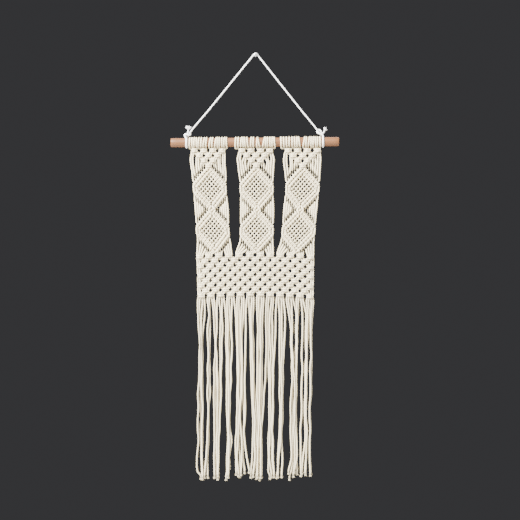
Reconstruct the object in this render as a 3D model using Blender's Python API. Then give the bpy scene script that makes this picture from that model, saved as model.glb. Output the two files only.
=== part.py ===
# Macrame wall hanging: three knotted panels looped on to a wooden dowel run together into one
# knotted band with a long fringe, and one cord hangs the dowel from a round-headed nail.
# Sizes are in millimetres until the meshes are made. +Z is up, the front faces -Y, the wall is
# the plane Y = 0 and the origin is the middle of the nail where it leaves the wall.

import math
from collections import Counter

import bmesh
import bpy
from mathutils import Matrix, Vector

MM = 0.001

# Driving sizes
CORD = 3.6                          # the knotted cotton cord
HANGER_CORD = 3.4                   # the whiter cord that the dowel hangs by
GAP = 0.35                          # room between pieces that lie against each other
PLANE_Y = -16.0                     # the plane that dowel, netting and fringe hang in

DOWEL_RADIUS = 8.0
DOWEL_LENGTH = 300.0
DOWEL_X = -1.2
DOWEL_Z = -155.5
DOWEL_TILT = math.radians(0.4)      # its right end hangs a little higher
DOWEL_EDGE = 1.2                    # rounding of its ends
DOWEL_SIDES = 24

NAIL_RADIUS = 1.2
NAIL_HEAD_RADIUS = 2.9
NAIL_HEAD_THICK = 1.0
NAIL_LENGTH = 20.0
NAIL_SIDES = 16

# Heights below the dowel's axis, and the steps of the pattern
LOOP_DROP = 9.8                     # where the strands leave their loops round the dowel
ROW_ONE = 14.8                      # first row of square knots in a panel's heading
KNOT_ROW = 8.9                      # from one row of the heading to the next
HEADING_ROWS = 4
DIAMOND_TOP = ROW_ONE + 3.5 * KNOT_ROW
DIAMOND_PITCH = 75.0
DIAMONDS = 2
CROSS_STEP = 4.31                   # the fall of a slanting strand for each strand it passes
BORDER_CELLS = 6                    # strands that are tied on to each side of a diamond
BAND_TOP = 202.5                    # first row of square knots in the band
BAND_ROW = 8.65
BAND_ROWS = 9
BAND_X = 0.5
BAND_PITCH = 4.46                   # strand to strand in the band
KNOT_STRANDS = 4
PANEL_STRANDS = 16
STRANDS = 3 * PANEL_STRANDS

# How far each form stands out from the plane, to the front and to the back alike
STRAND_RISE = CORD / 2
KNOT_RISE = CORD
BAR_RISE = 3.6
BAR_HOLLOW = 2.3
CROSSING_RISE = 2.6
GROOVE_RISE = 0.8

# Strand widths, counted in strand pitches, and half widths of the slanting pairs in millimetres
FLOAT_HALF = 0.41
PAIR_HALF = 0.9
HEADING_LINK = 3.8
BAND_LINK = 4.0

# The panels' middle lines lean in on the way down
PANEL_MIDDLES = (
    {"drop": 9.8, "left": -84.6, "middle": -0.3, "right": 80.6},
    {"drop": 15.0, "left": -84.4, "middle": 0.3, "right": 84.0},
    {"drop": 83.0, "left": -81.7, "middle": 2.0, "right": 84.0},
    {"drop": 121.0, "left": -77.7, "middle": 3.0, "right": 79.7},
    {"drop": 158.0, "left": -76.4, "middle": 2.3, "right": 76.9},
    {"drop": 198.0, "left": -71.5, "middle": 0.7, "right": 72.2},
)

# Strand to strand across each panel
PANEL_PITCHES = (
    {"drop": 9.8, "left": 4.36, "middle": 4.56, "right": 4.67},
    {"drop": 16.0, "left": 4.10, "middle": 4.10, "right": 4.35},
    {"drop": 42.0, "left": 3.92, "middle": 3.92, "right": 3.95},
    {"drop": 83.0, "left": 3.78, "middle": 3.80, "right": 3.80},
    {"drop": 198.0, "left": 3.78, "middle": 3.80, "right": 3.80},
)
PANEL_COLUMNS = {"left": -PANEL_STRANDS, "middle": 0, "right": PANEL_STRANDS}

# The loops round the dowel, two wraps of cord in each
LOOP_SIDES = 8
LOOP_WIDTH = 7.6
LOOP_THICK = 3.0
LOOPS_PER_PANEL = PANEL_STRANDS // 2

# The fringe: its clumps from left to right, as the strands hang near their ends
FRINGE_CLUMPS = (
    {"strands": 4, "left": -103.7, "right": -92.5, "end": 601.5},
    {"strands": 2, "left": -88.8, "right": -82.2, "end": 599.5},
    {"strands": 4, "left": -75.8, "right": -63.5, "end": 601.0},
    {"strands": 4, "left": -54.2, "right": -42.8, "end": 602.5},
    {"strands": 8, "left": -37.3, "right": -12.8, "end": 596.0},
    {"strands": 7, "left": -7.1, "right": 12.5, "end": 601.0},
    {"strands": 5, "left": 20.0, "right": 33.2, "end": 598.5},
    {"strands": 4, "left": 39.8, "right": 51.0, "end": 599.5},
    {"strands": 5, "left": 61.3, "right": 75.4, "end": 598.0},
    {"strands": 2, "left": 79.0, "right": 84.9, "end": 598.0},
    {"strands": 2, "left": 88.0, "right": 94.0, "end": 594.5},
    {"strands": 1, "left": 96.0, "right": 99.6, "end": 596.5},
)
FRINGE_HALF = 1.7                   # half the thickness of a hanging strand
FRINGE_LAYER = 1.5                  # strands lie by turns in front of the plane and behind it
FRINGE_GATHER = 95.0                # the length over which strands draw into their clumps
FRINGE_WAVE = 0.9
FRINGE_STRIP = 3.6                  # height of the strip that holds the roots
FRINGE_LEVELS = (14.0, 55.0, 120.0, 205.0, 275.0)
FRINGE_RAGGED = 2.2                 # how much one end differs from the next
TIP_FLARE = 2.0
TIP_LENGTH = 6.0

# The hanger: where its knots sit, counted from the dowel's axis, and where its free ends point
HANGER_SIDES = 8
TIES = (
    {"side": -1, "loop_x": -122.2, "knot_x": -122.4, "knot_rise": 13.6, "leg_x": -119.4,
     "leg_rise": 15.6, "bulge_x": -125.2, "bulge_rise": 12.8, "tip_x": -119.8, "tip_rise": 29.0},
    {"side": 1, "loop_x": 120.9, "knot_x": 120.4, "knot_rise": 13.6, "leg_x": 115.0,
     "leg_rise": 15.8, "bulge_x": 113.2, "bulge_rise": 18.2, "tip_x": 125.2, "tip_rise": 23.6},
)
TIE_KNOT_RADIUS = 3.1
TIE_BULGE_RADIUS = 2.9
TIE_TIP_RADIUS = 2.8
TIE_END_RADIUS = 1.6
LOOP_RING_SIDES = 14
LOOP_CORD_SIDES = 6


def clear_scene():
    for old in list(bpy.data.objects):
        bpy.data.objects.remove(old, do_unlink=True)


def material(name, colour, roughness, metallic=0.0):
    made = bpy.data.materials.new(name)
    made.use_nodes = True
    shader = made.node_tree.nodes["Principled BSDF"]
    shader.inputs["Base Color"].default_value = (*colour, 1.0)
    shader.inputs["Roughness"].default_value = roughness
    shader.inputs["Metallic"].default_value = metallic
    return made


def add_object(name, mesh_builder, look, crease=40.0):
    """Turn a bmesh built in millimetres into an object of one closed, smooth-shaded mesh."""
    mesh = bpy.data.meshes.new(name)
    bmesh.ops.scale(mesh_builder, vec=(MM, MM, MM), verts=mesh_builder.verts)
    bmesh.ops.recalc_face_normals(mesh_builder, faces=mesh_builder.faces)
    mesh_builder.to_mesh(mesh)
    mesh_builder.free()
    mesh.shade_smooth()
    mesh.set_sharp_from_angle(angle=math.radians(crease))
    mesh.materials.append(look)
    made = bpy.data.objects.new(name, mesh)
    bpy.context.scene.collection.objects.link(made)
    return made


def fuse(target, cutter):
    """Join a helper's solids to the target with a Boolean, and hide the helper."""
    union = target.modifiers.new(cutter.name, "BOOLEAN")
    union.operation = "UNION"
    union.solver = "EXACT"
    union.object = cutter
    cutter.hide_render = True
    cutter.display_type = "WIRE"


def between(table, drop, column):
    """Read a column of a table at any height, straight between its rows."""
    for above, below in zip(table, table[1:]):
        if drop <= below["drop"]:
            break
    share = (drop - above["drop"]) / (below["drop"] - above["drop"])
    share = min(max(share, 0.0), 1.0)
    return above[column] + share * (below[column] - above[column])


def dowel_height(x):
    return DOWEL_Z + (x - DOWEL_X) * math.tan(DOWEL_TILT)


class Relief:
    """Openwork that hangs in a plane, drawn from the front as a net of faces.

    The net's edges, at its outline, holes and slits, stay sharp. Every point inside the net is
    raised to the front and to the back, so that strands, bars and knots come out full."""

    def __init__(self):
        self.points = []
        self.places = {}
        self.faces = []

    def point(self, x, z, rise=0.0, y=PLANE_Y):
        place = (round(x, 3), round(y, 3), round(z, 3))
        if place not in self.places:
            self.places[place] = len(self.points)
            self.points.append((x, y, z, rise))
        return self.places[place]

    def face(self, *corners):
        kept = [corner for n, corner in enumerate(corners) if corner != corners[n - 1]]
        self.faces.append(kept)

    def fan(self, middle, ring):
        for start, end in zip(ring, ring[1:] + ring[:1]):
            self.face(middle, start, end)

    def strand(self, *sections):
        """Join cross-sections of three points, edge, ridge and edge, from the top down."""
        for upper, lower in zip(sections, sections[1:]):
            self.face(upper[0], upper[1], lower[1], lower[0])
            self.face(upper[1], upper[2], lower[2], lower[1])

    def build(self):
        uses = Counter()
        for face in self.faces:
            for start, end in zip(face, face[1:] + face[:1]):
                uses[frozenset((start, end))] += 1
        rim = {point for edge, count in uses.items() if count == 1 for point in edge}
        made = bmesh.new()
        front = {}
        back = {}
        for number, (x, y, z, rise) in enumerate(self.points):
            if number in rim:
                front[number] = back[number] = made.verts.new((x, y, z))
            else:
                front[number] = made.verts.new((x, y - rise, z))
                back[number] = made.verts.new((x, y + rise, z))
        for face in self.faces:
            first = next(n for n, point in enumerate(face) if point not in rim)
            turned = face[first:] + face[:first]
            for start, end in zip(turned[1:], turned[2:]):
                made.faces.new([front[point] for point in (turned[0], start, end)])
                made.faces.new([back[point] for point in (turned[0], end, start)])
        return made


class Ground:
    """A stretch of netting: places its strands, counted from its middle, on the relief."""

    def __init__(self, relief, middle, pitch, half_row, link_half):
        self.relief = relief
        self.middle = middle
        self.pitch = pitch
        self.half_row = half_row
        self.link_half = link_half

    def spot(self, strand, drop):
        return self.middle(drop) + strand * self.pitch(drop), DOWEL_Z - drop

    def point(self, strand, drop, rise=0.0):
        return self.relief.point(*self.spot(strand, drop), rise)

    def link(self, strand, drop, lean):
        """Cross-section of a slanting pair of strands: upper edge, ridge, lower edge."""
        x, z = self.spot(strand, drop)
        pitch = self.pitch(drop)
        length = math.hypot(pitch, self.half_row)
        across = self.link_half * self.half_row / length
        along = self.link_half * pitch / length
        return (self.relief.point(x + lean * across, z + along),
                self.relief.point(x, z, STRAND_RISE),
                self.relief.point(x - lean * across, z - along))

    def from_upper_left(self, strand, drop):
        upper, ridge, lower = self.link(strand - 1, drop - self.half_row, 1)
        return [lower, ridge, upper]

    def from_upper_right(self, strand, drop):
        return list(self.link(strand + 1, drop - self.half_row, -1))

    def to_lower_right(self, strand, drop):
        return list(self.link(strand + 1, drop + self.half_row, 1))

    def to_lower_left(self, strand, drop):
        upper, ridge, lower = self.link(strand - 1, drop + self.half_row, -1)
        return [lower, ridge, upper]

    def knot(self, strand, drop, **replaced):
        """A square knot. Its four pairs of strands are read clockwise from the upper left."""
        ring = []
        for corner in ("from_upper_left", "from_upper_right", "to_lower_right", "to_lower_left"):
            ring += replaced.get(corner) or getattr(self, corner)(strand, drop)
        ring = [point for n, point in enumerate(ring) if point != ring[n - 1]]
        self.relief.fan(self.point(strand, drop, KNOT_RISE), ring)


class Diamond:
    """One diamond: four ridged bars round a lattice of crossing strands."""

    def __init__(self, ground, middle_drop):
        self.ground = ground
        self.drop = middle_drop
        self.half = DIAMOND_PITCH / 2
        self.lattice_half = BORDER_CELLS * CROSS_STEP

    def outer(self, side, cell, way, rise=GROOVE_RISE):
        """A point of the bars' outer edge. side: -1 left, 1 right. way: -1 upper, 1 lower."""
        fall = self.half - CROSS_STEP * cell
        if cell % 1:
            rise = STRAND_RISE
        return self.ground.point(side * (2 + cell), self.drop + way * fall, rise)

    def inner(self, side, cell, way):
        rise = STRAND_RISE if cell % 2 == 1 else GROOVE_RISE
        fall = self.lattice_half - CROSS_STEP * cell
        return self.ground.point(side * cell, self.drop + way * fall, rise)

    def ridge(self, side, cell, way):
        rise = BAR_RISE if cell % 1 else BAR_HOLLOW
        fall = (self.half + self.lattice_half) / 2 - CROSS_STEP * cell
        return self.ground.point(side * (1 + cell), self.drop + way * fall, rise)

    def bar(self, side, way):
        face = self.ground.relief.face
        for half_cell in range(2 * BORDER_CELLS):
            near = half_cell / 2
            far = near + 0.5
            face(self.outer(side, near, way), self.outer(side, far, way),
                 self.ridge(side, far, way), self.ridge(side, near, way))
            face(self.ridge(side, near, way), self.ridge(side, far, way),
                 self.inner(side, far, way), self.inner(side, near, way))

    def corner(self, side):
        last = BORDER_CELLS
        ring = [self.outer(side, last, -1), self.ridge(side, last, -1),
                self.inner(side, last, -1), self.ridge(side, last, 1),
                self.outer(side, last, 1), self.ground.point(side * 8.15, self.drop)]
        self.ground.relief.fan(self.ground.point(side * 7.2, self.drop, BAR_HOLLOW), ring)

    def lattice_point(self, down, along, rise):
        drop = self.drop + CROSS_STEP * (down + along - BORDER_CELLS)
        return self.ground.point(along - down, drop, rise)

    def crossing(self, down, along):
        """Two pairs of strands that cross, drawn out to half-way to the next crossings."""
        ring = []
        for turn in range(4):
            for sway in (-0.5, 0.0, 0.5):
                step = Vector((sway, -1.0))
                step.rotate(Matrix.Rotation(turn * math.pi / 2, 2))
                rise = GROOVE_RISE if sway else STRAND_RISE
                ring.append(self.lattice_point(down + step.x, along + step.y, rise))
        self.ground.relief.fan(self.lattice_point(down, along, CROSSING_RISE), ring)

    def build(self):
        for side in (-1, 1):
            self.corner(side)
            for way in (-1, 1):
                self.bar(side, way)
        for down in range(1, BORDER_CELLS, 2):
            for along in range(1, BORDER_CELLS, 2):
                self.crossing(down, along)


def edge_near_gap(corner, towards):
    """Strand edges that face a hole between two knots stand a little back from it."""
    if corner % KNOT_STRANDS == 0:
        return corner + math.copysign(0.1, towards - corner)
    return corner


def heading(ground):
    """Rows of four, three, two and one square knots, with the strands that leave their sides."""
    for row in range(HEADING_ROWS):
        drop = ROW_ONE + row * KNOT_ROW
        outermost = 6 - 2 * row
        for strand in range(-outermost, outermost + 1, KNOT_STRANDS):
            replaced = {}
            if row == 0:
                replaced["from_upper_left"] = [
                    ground.point(strand - 1 + across, LOOP_DROP) for across in (-0.8, 0.0, 0.8)]
                replaced["from_upper_right"] = [
                    ground.point(strand + 1 + across, LOOP_DROP) for across in (-0.8, 0.0, 0.8)]
            if row == HEADING_ROWS - 1:
                apex = hub_edge(ground, DIAMOND_TOP)
                replaced["to_lower_right"] = apex[:2:-1]
                replaced["to_lower_left"] = apex[2::-1]
            else:
                if strand == -outermost:
                    outer_pair = float_tops(ground, -1, row)
                    replaced["to_lower_left"] = outer_pair[::-1]
                if strand == outermost:
                    replaced["to_lower_right"] = float_tops(ground, 1, row)[::-1]
            ground.knot(strand, drop, **replaced)


def float_tops(ground, side, row):
    """Where the two strands beside a heading row leave their knot, from left to right."""
    drop = ROW_ONE + row * KNOT_ROW + KNOT_ROW / 2
    middle = side * (7 - 2 * row)
    split = (GROOVE_RISE + STRAND_RISE) / 2
    rises = {-PAIR_HALF: 0.0, -0.5: STRAND_RISE, 0.0: split, 0.5: STRAND_RISE, PAIR_HALF: 0.0}
    return [ground.point(middle + across, drop, rise) for across, rise in rises.items()]


def hub_edge(ground, drop):
    """The five points where four strands cross into a hub, from left to right."""
    rises = {-2: GROOVE_RISE, -1: STRAND_RISE, 0: GROOVE_RISE, 1: STRAND_RISE, 2: GROOVE_RISE}
    return [ground.point(strand, drop, rise) for strand, rise in rises.items()]


def hubs(ground, diamonds):
    """The crossings at the diamonds' tops and bottoms."""
    upper = diamonds[0]
    lower = diamonds[-1]
    top_ring = hub_edge(ground, DIAMOND_TOP) + [
        upper.ridge(1, 0, -1), upper.inner(1, 0, -1), upper.ridge(-1, 0, -1)]
    ground.relief.fan(ground.point(0, DIAMOND_TOP + CROSS_STEP, BAR_RISE), top_ring)
    for above, below in zip(diamonds, diamonds[1:]):
        ring = [above.inner(-1, 0, 1), above.ridge(-1, 0, 1), above.outer(-1, 0, 1),
                below.ridge(-1, 0, -1), below.inner(-1, 0, -1), below.ridge(1, 0, -1),
                below.outer(1, 0, -1), above.ridge(1, 0, 1)]
        ground.relief.fan(ground.point(0, above.drop + above.half, BAR_RISE), ring)
    bottom = lower.drop + lower.half
    bottom_ring = hub_edge(ground, bottom) + [
        lower.ridge(1, 0, 1), lower.inner(1, 0, 1), lower.ridge(-1, 0, 1)]
    ground.relief.fan(ground.point(0, bottom - CROSS_STEP, BAR_RISE), bottom_ring)


def bar_section(diamond, side, cell, way):
    return [diamond.outer(side, cell, way), diamond.outer(side, cell + 0.5, way),
            diamond.outer(side, cell + 1, way)]


def middle_section(ground, side, cell, drop, pinched):
    """A hanging strand's cross-section, narrow enough to leave slits beside it."""
    strand = 2.5 + cell
    inner_edge = 2 if pinched else strand - FLOAT_HALF
    rise = GROOVE_RISE if pinched else 0.0
    return [ground.point(side * inner_edge, drop, rise),
            ground.point(side * strand, drop, STRAND_RISE),
            ground.point(side * (strand + FLOAT_HALF), drop)]


def heading_floats(ground, diamond):
    for side in (-1, 1):
        for cell in range(BORDER_CELLS):
            row = HEADING_ROWS - 2 - cell // 2
            tops = float_tops(ground, side, row)
            if side == 1:
                tops = tops[::-1]
            outer_edge, outer_ridge, split, inner_ridge, inner_edge = tops
            if cell % 2:
                top = [split, outer_ridge, outer_edge]
            else:
                top = [inner_edge, inner_ridge, split]
            bottom = bar_section(diamond, side, cell, -1)
            start = ROW_ONE + (row + 0.5) * KNOT_ROW
            end = diamond.drop - diamond.half + CROSS_STEP * (cell + 0.5)
            middle = middle_section(ground, side, cell, (start + end) / 2, False)
            ground.relief.strand(top, middle, bottom)


def waist_floats(ground, above, below):
    for side in (-1, 1):
        for cell in range(BORDER_CELLS):
            waist = above.drop + above.half
            middle = middle_section(ground, side, cell, waist, cell == 0)
            ground.relief.strand(bar_section(above, side, cell, 1), middle,
                                 bar_section(below, side, cell, -1))


def band_entry(band, column, side, strand):
    """Where a strand meets the band's first row, inner edge first. column shifts the panel."""
    drop = BAND_TOP - BAND_ROW / 2
    near = edge_near_gap(side * (strand - 0.5), side * strand)
    far = edge_near_gap(side * (strand + 0.5), side * strand)
    return [band.point(column + near, drop, GROOVE_RISE),
            band.point(column + side * strand, drop, STRAND_RISE),
            band.point(column + far, drop, GROOVE_RISE)]


def band_entry_pair(band, column, side):
    """Where the two strands beside a panel's middle meet the band, inner edge first."""
    drop = BAND_TOP - BAND_ROW / 2
    return [band.point(column + side * 0.1, drop),
            band.point(column + side, drop, STRAND_RISE),
            band.point(column + side * 2, drop, GROOVE_RISE)]


def band_floats(ground, band, column, diamond):
    """The strands that spread from the lowest diamond into the band."""
    bottom = diamond.drop + diamond.half
    band_drop = BAND_TOP - BAND_ROW / 2
    for side in (-1, 1):
        ground.relief.strand([ground.point(0, bottom, GROOVE_RISE),
                              ground.point(side, bottom, STRAND_RISE),
                              ground.point(side * 2, bottom, GROOVE_RISE)],
                             band_entry_pair(band, column, side))
        for cell in range(BORDER_CELLS):
            strand = 2.5 + cell
            top = bar_section(diamond, side, cell, 1)
            entry = band_entry(band, column, side, strand)
            if cell == 0:
                ground.relief.strand(top, entry)
                continue
            start = bottom - CROSS_STEP * (cell + 0.5)
            drop = (start + band_drop) / 2
            spread = []
            for across, rise in ((-FLOAT_HALF, 0.0), (0.0, STRAND_RISE), (FLOAT_HALF, 0.0)):
                upper_x, upper_z = ground.spot(side * (strand + across), drop)
                lower_x, lower_z = band.spot(column + side * (strand + across), drop)
                spread.append(ground.relief.point((upper_x + lower_x) / 2, upper_z, rise))
            ground.relief.strand(top, spread, entry)


def band_rows(band):
    """Rows of square knots, each row set half a knot along from the one above."""
    for row in range(BAND_ROWS):
        drop = BAND_TOP + row * BAND_ROW
        outermost = STRANDS // 2 - 2 - 2 * (row % 2)
        for strand in range(-outermost, outermost + 1, KNOT_STRANDS):
            replaced = {}
            if row == 0:
                replaced = first_row_entries(band, strand)
            if row == BAND_ROWS - 1:
                low = drop + BAND_ROW / 2
                replaced["to_lower_right"] = [
                    band.point(strand + across, low) for across in (1.8, 1.0)]
                replaced["to_lower_left"] = [
                    band.point(strand + across, low) for across in (-1.0, -1.8)]
            band.knot(strand, drop, **replaced)
        if row % 2:
            band_side_pairs(band, outermost, drop)


def first_row_entries(band, strand):
    """The tops of a first-row knot: single strands from a bar, or a pair from a panel's middle."""
    column = min(PANEL_COLUMNS.values(), key=lambda each: abs(strand - each))
    own = strand - column
    if own == -2:
        right = band_entry_pair(band, column, -1)[::-1]
    else:
        right = entry_run(band, column, own + 0.5, own + 1.5)
    if own == 2:
        left = band_entry_pair(band, column, 1)
    else:
        left = entry_run(band, column, own - 1.5, own - 0.5)
    return {"from_upper_left": left, "from_upper_right": right}


def entry_run(band, column, first, last):
    """Two neighbouring strands' entries as one run of points from left to right."""
    run = []
    for strand in (first, last):
        side = 1 if strand > 0 else -1
        entry = band_entry(band, column, side, abs(strand))
        run += entry if side > 0 else entry[::-1]
    return run


def band_side_pairs(band, outermost, drop):
    """Beside every shorter row, the outer strands run on from the row above to the row below."""
    end = outermost + 2
    above = drop - BAND_ROW
    below = drop + BAND_ROW
    left_top = band.to_lower_left(-end, above)[::-1]
    band.relief.strand(left_top, band.from_upper_left(-end, below))
    right_top = band.to_lower_right(end, above)
    band.relief.strand(right_top, band.from_upper_right(end, below)[::-1])


def dowel_loops(look):
    """The lark's heads: loops of two wraps each, clear of the wood that they go round."""
    made = bmesh.new()
    turn = 2 * math.pi / LOOP_SIDES
    inner = (DOWEL_RADIUS + GAP) / math.cos(turn / 2)
    outer = inner + LOOP_THICK / math.cos(turn / 2)
    half = LOOP_WIDTH / 2
    for name in PANEL_COLUMNS:
        middle = between(PANEL_MIDDLES, LOOP_DROP, name)
        pitch = between(PANEL_PITCHES, LOOP_DROP, name)
        for number in range(LOOPS_PER_PANEL):
            x = middle + (2 * number + 1 - LOOPS_PER_PANEL) * pitch
            height = dowel_height(x)
            rings = []
            for step in range(LOOP_SIDES):
                angle = (step + 0.5) * turn
                ring = []
                for across, radius in ((-half, inner), (half, inner), (half, outer), (-half, outer)):
                    ring.append(made.verts.new((x + across, PLANE_Y + radius * math.sin(angle),
                                                height + radius * math.cos(angle))))
                rings.append(ring)
            for ring, following in zip(rings, rings[1:] + rings[:1]):
                for corner in range(4):
                    made.faces.new((ring[corner - 1], ring[corner],
                                    following[corner], following[corner - 1]))
    return add_object("dowel_loops", made, look)


def netting(look):
    relief = Relief()
    band = Ground(relief, lambda drop: BAND_X, lambda drop: BAND_PITCH, BAND_ROW / 2, BAND_LINK)
    for name, column in PANEL_COLUMNS.items():
        ground = Ground(relief,
                        lambda drop, name=name: between(PANEL_MIDDLES, drop, name),
                        lambda drop, name=name: between(PANEL_PITCHES, drop, name),
                        KNOT_ROW / 2, HEADING_LINK)
        diamonds = [Diamond(ground, DIAMOND_TOP + (number + 0.5) * DIAMOND_PITCH)
                    for number in range(DIAMONDS)]
        heading(ground)
        hubs(ground, diamonds)
        heading_floats(ground, diamonds[0])
        for diamond in diamonds:
            diamond.build()
        for above, below in zip(diamonds, diamonds[1:]):
            waist_floats(ground, above, below)
        band_floats(ground, band, column, diamonds[-1])
    band_rows(band)
    made = add_object("netting", relief.build(), look)
    fuse(made, dowel_loops(look))
    return made


def clump_places():
    """For each strand of the fringe: its clump's row in the table, and its place across it."""
    places = []
    for number, clump in enumerate(FRINGE_CLUMPS):
        room = clump["right"] - clump["left"] - 2 * FRINGE_HALF
        last = max(clump["strands"] - 1, 1)
        for strand in range(clump["strands"]):
            x = clump["left"] + FRINGE_HALF + room * strand / last
            places.append((number, x))
    return places


def fringe(look):
    relief = Relief()
    top = BAND_TOP + (BAND_ROWS - 0.5) * BAND_ROW + GAP
    root = top + FRINGE_STRIP
    for strand, (clump, gathered_x) in enumerate(clump_places()):
        across = strand - (STRANDS - 1) / 2
        root_x = BAND_X + across * BAND_PITCH
        left = root_x - BAND_PITCH / 2
        right = root_x + BAND_PITCH / 2
        upper_z = DOWEL_Z - top
        middle_z = DOWEL_Z - (top + root) / 2
        root_z = DOWEL_Z - root
        ridge = relief.point(root_x, root_z, FRINGE_HALF)
        ring = [relief.point(left, upper_z), relief.point(right, upper_z),
                relief.point(right, middle_z, BAR_HOLLOW), relief.point(right, root_z, 0.0),
                ridge, relief.point(left, root_z, 0.0), relief.point(left, middle_z, BAR_HOLLOW)]
        relief.fan(relief.point(root_x, middle_z, BAR_RISE), ring)
        sections = [[ring[5], ridge, ring[3]]]
        layer = PLANE_Y + (FRINGE_LAYER if strand % 2 else -FRINGE_LAYER)
        end = FRINGE_CLUMPS[clump]["end"] + FRINGE_RAGGED * math.sin(2.4 * strand)
        levels = [root + level for level in FRINGE_LEVELS] + [end - TIP_LENGTH, end]
        for level in levels:
            gather = min((level - root) / FRINGE_GATHER, 1.0)
            gather = gather * gather * (3 - 2 * gather)
            wave = FRINGE_WAVE * math.sin(0.021 * (level - root) + 1.7 * clump) * gather
            x = root_x + (gathered_x - root_x) * gather + wave
            half = TIP_FLARE if level >= end - TIP_LENGTH else FRINGE_HALF
            z = DOWEL_Z - level
            sections.append([relief.point(x - half, z, 0.0, layer),
                             relief.point(x, z, half, layer),
                             relief.point(x + half, z, 0.0, layer)])
        relief.strand(*sections)
    return add_object("fringe", relief.build(), look)


def sweep(made, path, radii, sides):
    """A round tube along a path in a plane of constant Y, closed at both ends."""
    rings = []
    for number, spot in enumerate(path):
        before = path[max(number - 1, 0)]
        after = path[min(number + 1, len(path) - 1)]
        along = (after - before).normalized()
        aside = along.cross(Vector((0.0, 1.0, 0.0)))
        ring = []
        for side in range(sides):
            angle = 2 * math.pi * side / sides
            offset = aside * math.cos(angle) + Vector((0.0, 1.0, 0.0)) * math.sin(angle)
            ring.append(made.verts.new(spot + offset * radii[number]))
        rings.append(ring)
    for ring, following in zip(rings, rings[1:]):
        for side in range(sides):
            made.faces.new((ring[side - 1], ring[side], following[side], following[side - 1]))
    made.faces.new(rings[0])
    made.faces.new(rings[-1])


def tie_spot(tie, part):
    x = tie[part + "_x"]
    return Vector((x, PLANE_Y, dowel_height(x) + tie[part + "_rise"]))


def nail_bend():
    """The cord's path over the nail, from the left tangent to the right one."""
    radius = NAIL_RADIUS + GAP + HANGER_CORD / 2
    tangents = []
    for tie in TIES:
        leg = tie_spot(tie, "leg")
        distance = math.hypot(leg.x, leg.z)
        towards = math.atan2(leg.z, leg.x)
        tangents.append(towards + tie["side"] * math.acos(radius / distance))
    left, right = tangents
    left += 2 * math.pi
    steps = 6
    return [Vector((radius * math.cos(left + (right - left) * step / steps), PLANE_Y,
                    radius * math.sin(left + (right - left) * step / steps)))
            for step in range(steps + 1)]


def tie_loop(made, tie):
    """A ring of cord round the dowel, clear of the wood."""
    thick = HANGER_CORD / 2
    turn = 2 * math.pi / LOOP_RING_SIDES
    reach = (DOWEL_RADIUS + GAP) / math.cos(turn / 2) + thick
    middle = Vector((tie["loop_x"], PLANE_Y, dowel_height(tie["loop_x"])))
    rings = []
    for step in range(LOOP_RING_SIDES):
        outward = Vector((0.0, math.sin(step * turn), math.cos(step * turn)))
        ring = []
        for side in range(LOOP_CORD_SIDES):
            angle = 2 * math.pi * side / LOOP_CORD_SIDES
            offset = Vector((math.cos(angle), 0.0, 0.0)) + outward * math.sin(angle)
            ring.append(made.verts.new(middle + outward * reach + offset * thick))
        rings.append(ring)
    for ring, following in zip(rings, rings[1:] + rings[:1]):
        for side in range(LOOP_CORD_SIDES):
            made.faces.new((ring[side - 1], ring[side], following[side], following[side - 1]))


def bead(made, middle, radius):
    """A rounded lump, one turn of a knot."""
    angles = [math.radians(angle) for angle in (-75, -40, 0, 40, 75)]
    path = [middle + Vector((0.0, 0.0, radius * math.sin(angle))) for angle in angles]
    sweep(made, path, [radius * math.cos(angle) for angle in angles], HANGER_SIDES)


def free_end(made, tie):
    """The cord's end past its knot, a little splayed at the cut."""
    knot = tie_spot(tie, "knot")
    tip = tie_spot(tie, "tip")
    path = [knot.lerp(tip, share) for share in (0.0, 0.55, 0.8, 1.0)]
    sweep(made, path, [TIE_END_RADIUS, TIE_END_RADIUS, 2.0, TIE_TIP_RADIUS], HANGER_SIDES)


def hanger(look):
    cord = bmesh.new()
    path = [tie_spot(TIES[0], "knot"), tie_spot(TIES[0], "leg")] + nail_bend()
    path += [tie_spot(TIES[1], "leg"), tie_spot(TIES[1], "knot")]
    sweep(cord, path, [HANGER_CORD / 2] * len(path), HANGER_SIDES)
    made = add_object("hanger", cord, look)
    pieces = {name: bmesh.new() for name in ("loops", "knots", "bulges", "free_ends")}
    for tie in TIES:
        tie_loop(pieces["loops"], tie)
        bead(pieces["knots"], tie_spot(tie, "knot"), TIE_KNOT_RADIUS)
        bead(pieces["bulges"], tie_spot(tie, "bulge"), TIE_BULGE_RADIUS)
        free_end(pieces["free_ends"], tie)
    for name, piece in pieces.items():
        fuse(made, add_object("hanger_" + name, piece, look))
    return made


def dowel(look):
    made = bmesh.new()
    bmesh.ops.create_cone(made, cap_ends=True, segments=DOWEL_SIDES, radius1=DOWEL_RADIUS,
                          radius2=DOWEL_RADIUS, depth=DOWEL_LENGTH)
    ends = [edge for edge in made.edges if edge.verts[0].co.z == edge.verts[1].co.z]
    bmesh.ops.bevel(made, geom=ends, offset=DOWEL_EDGE, segments=2, profile=0.6,
                    affect="EDGES")
    turn = Matrix.Rotation(math.pi / 2 - DOWEL_TILT, 4, "Y")
    place = Matrix.Translation((DOWEL_X, PLANE_Y, DOWEL_Z))
    bmesh.ops.transform(made, matrix=place @ turn, verts=made.verts)
    return add_object("dowel", made, look)


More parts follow.
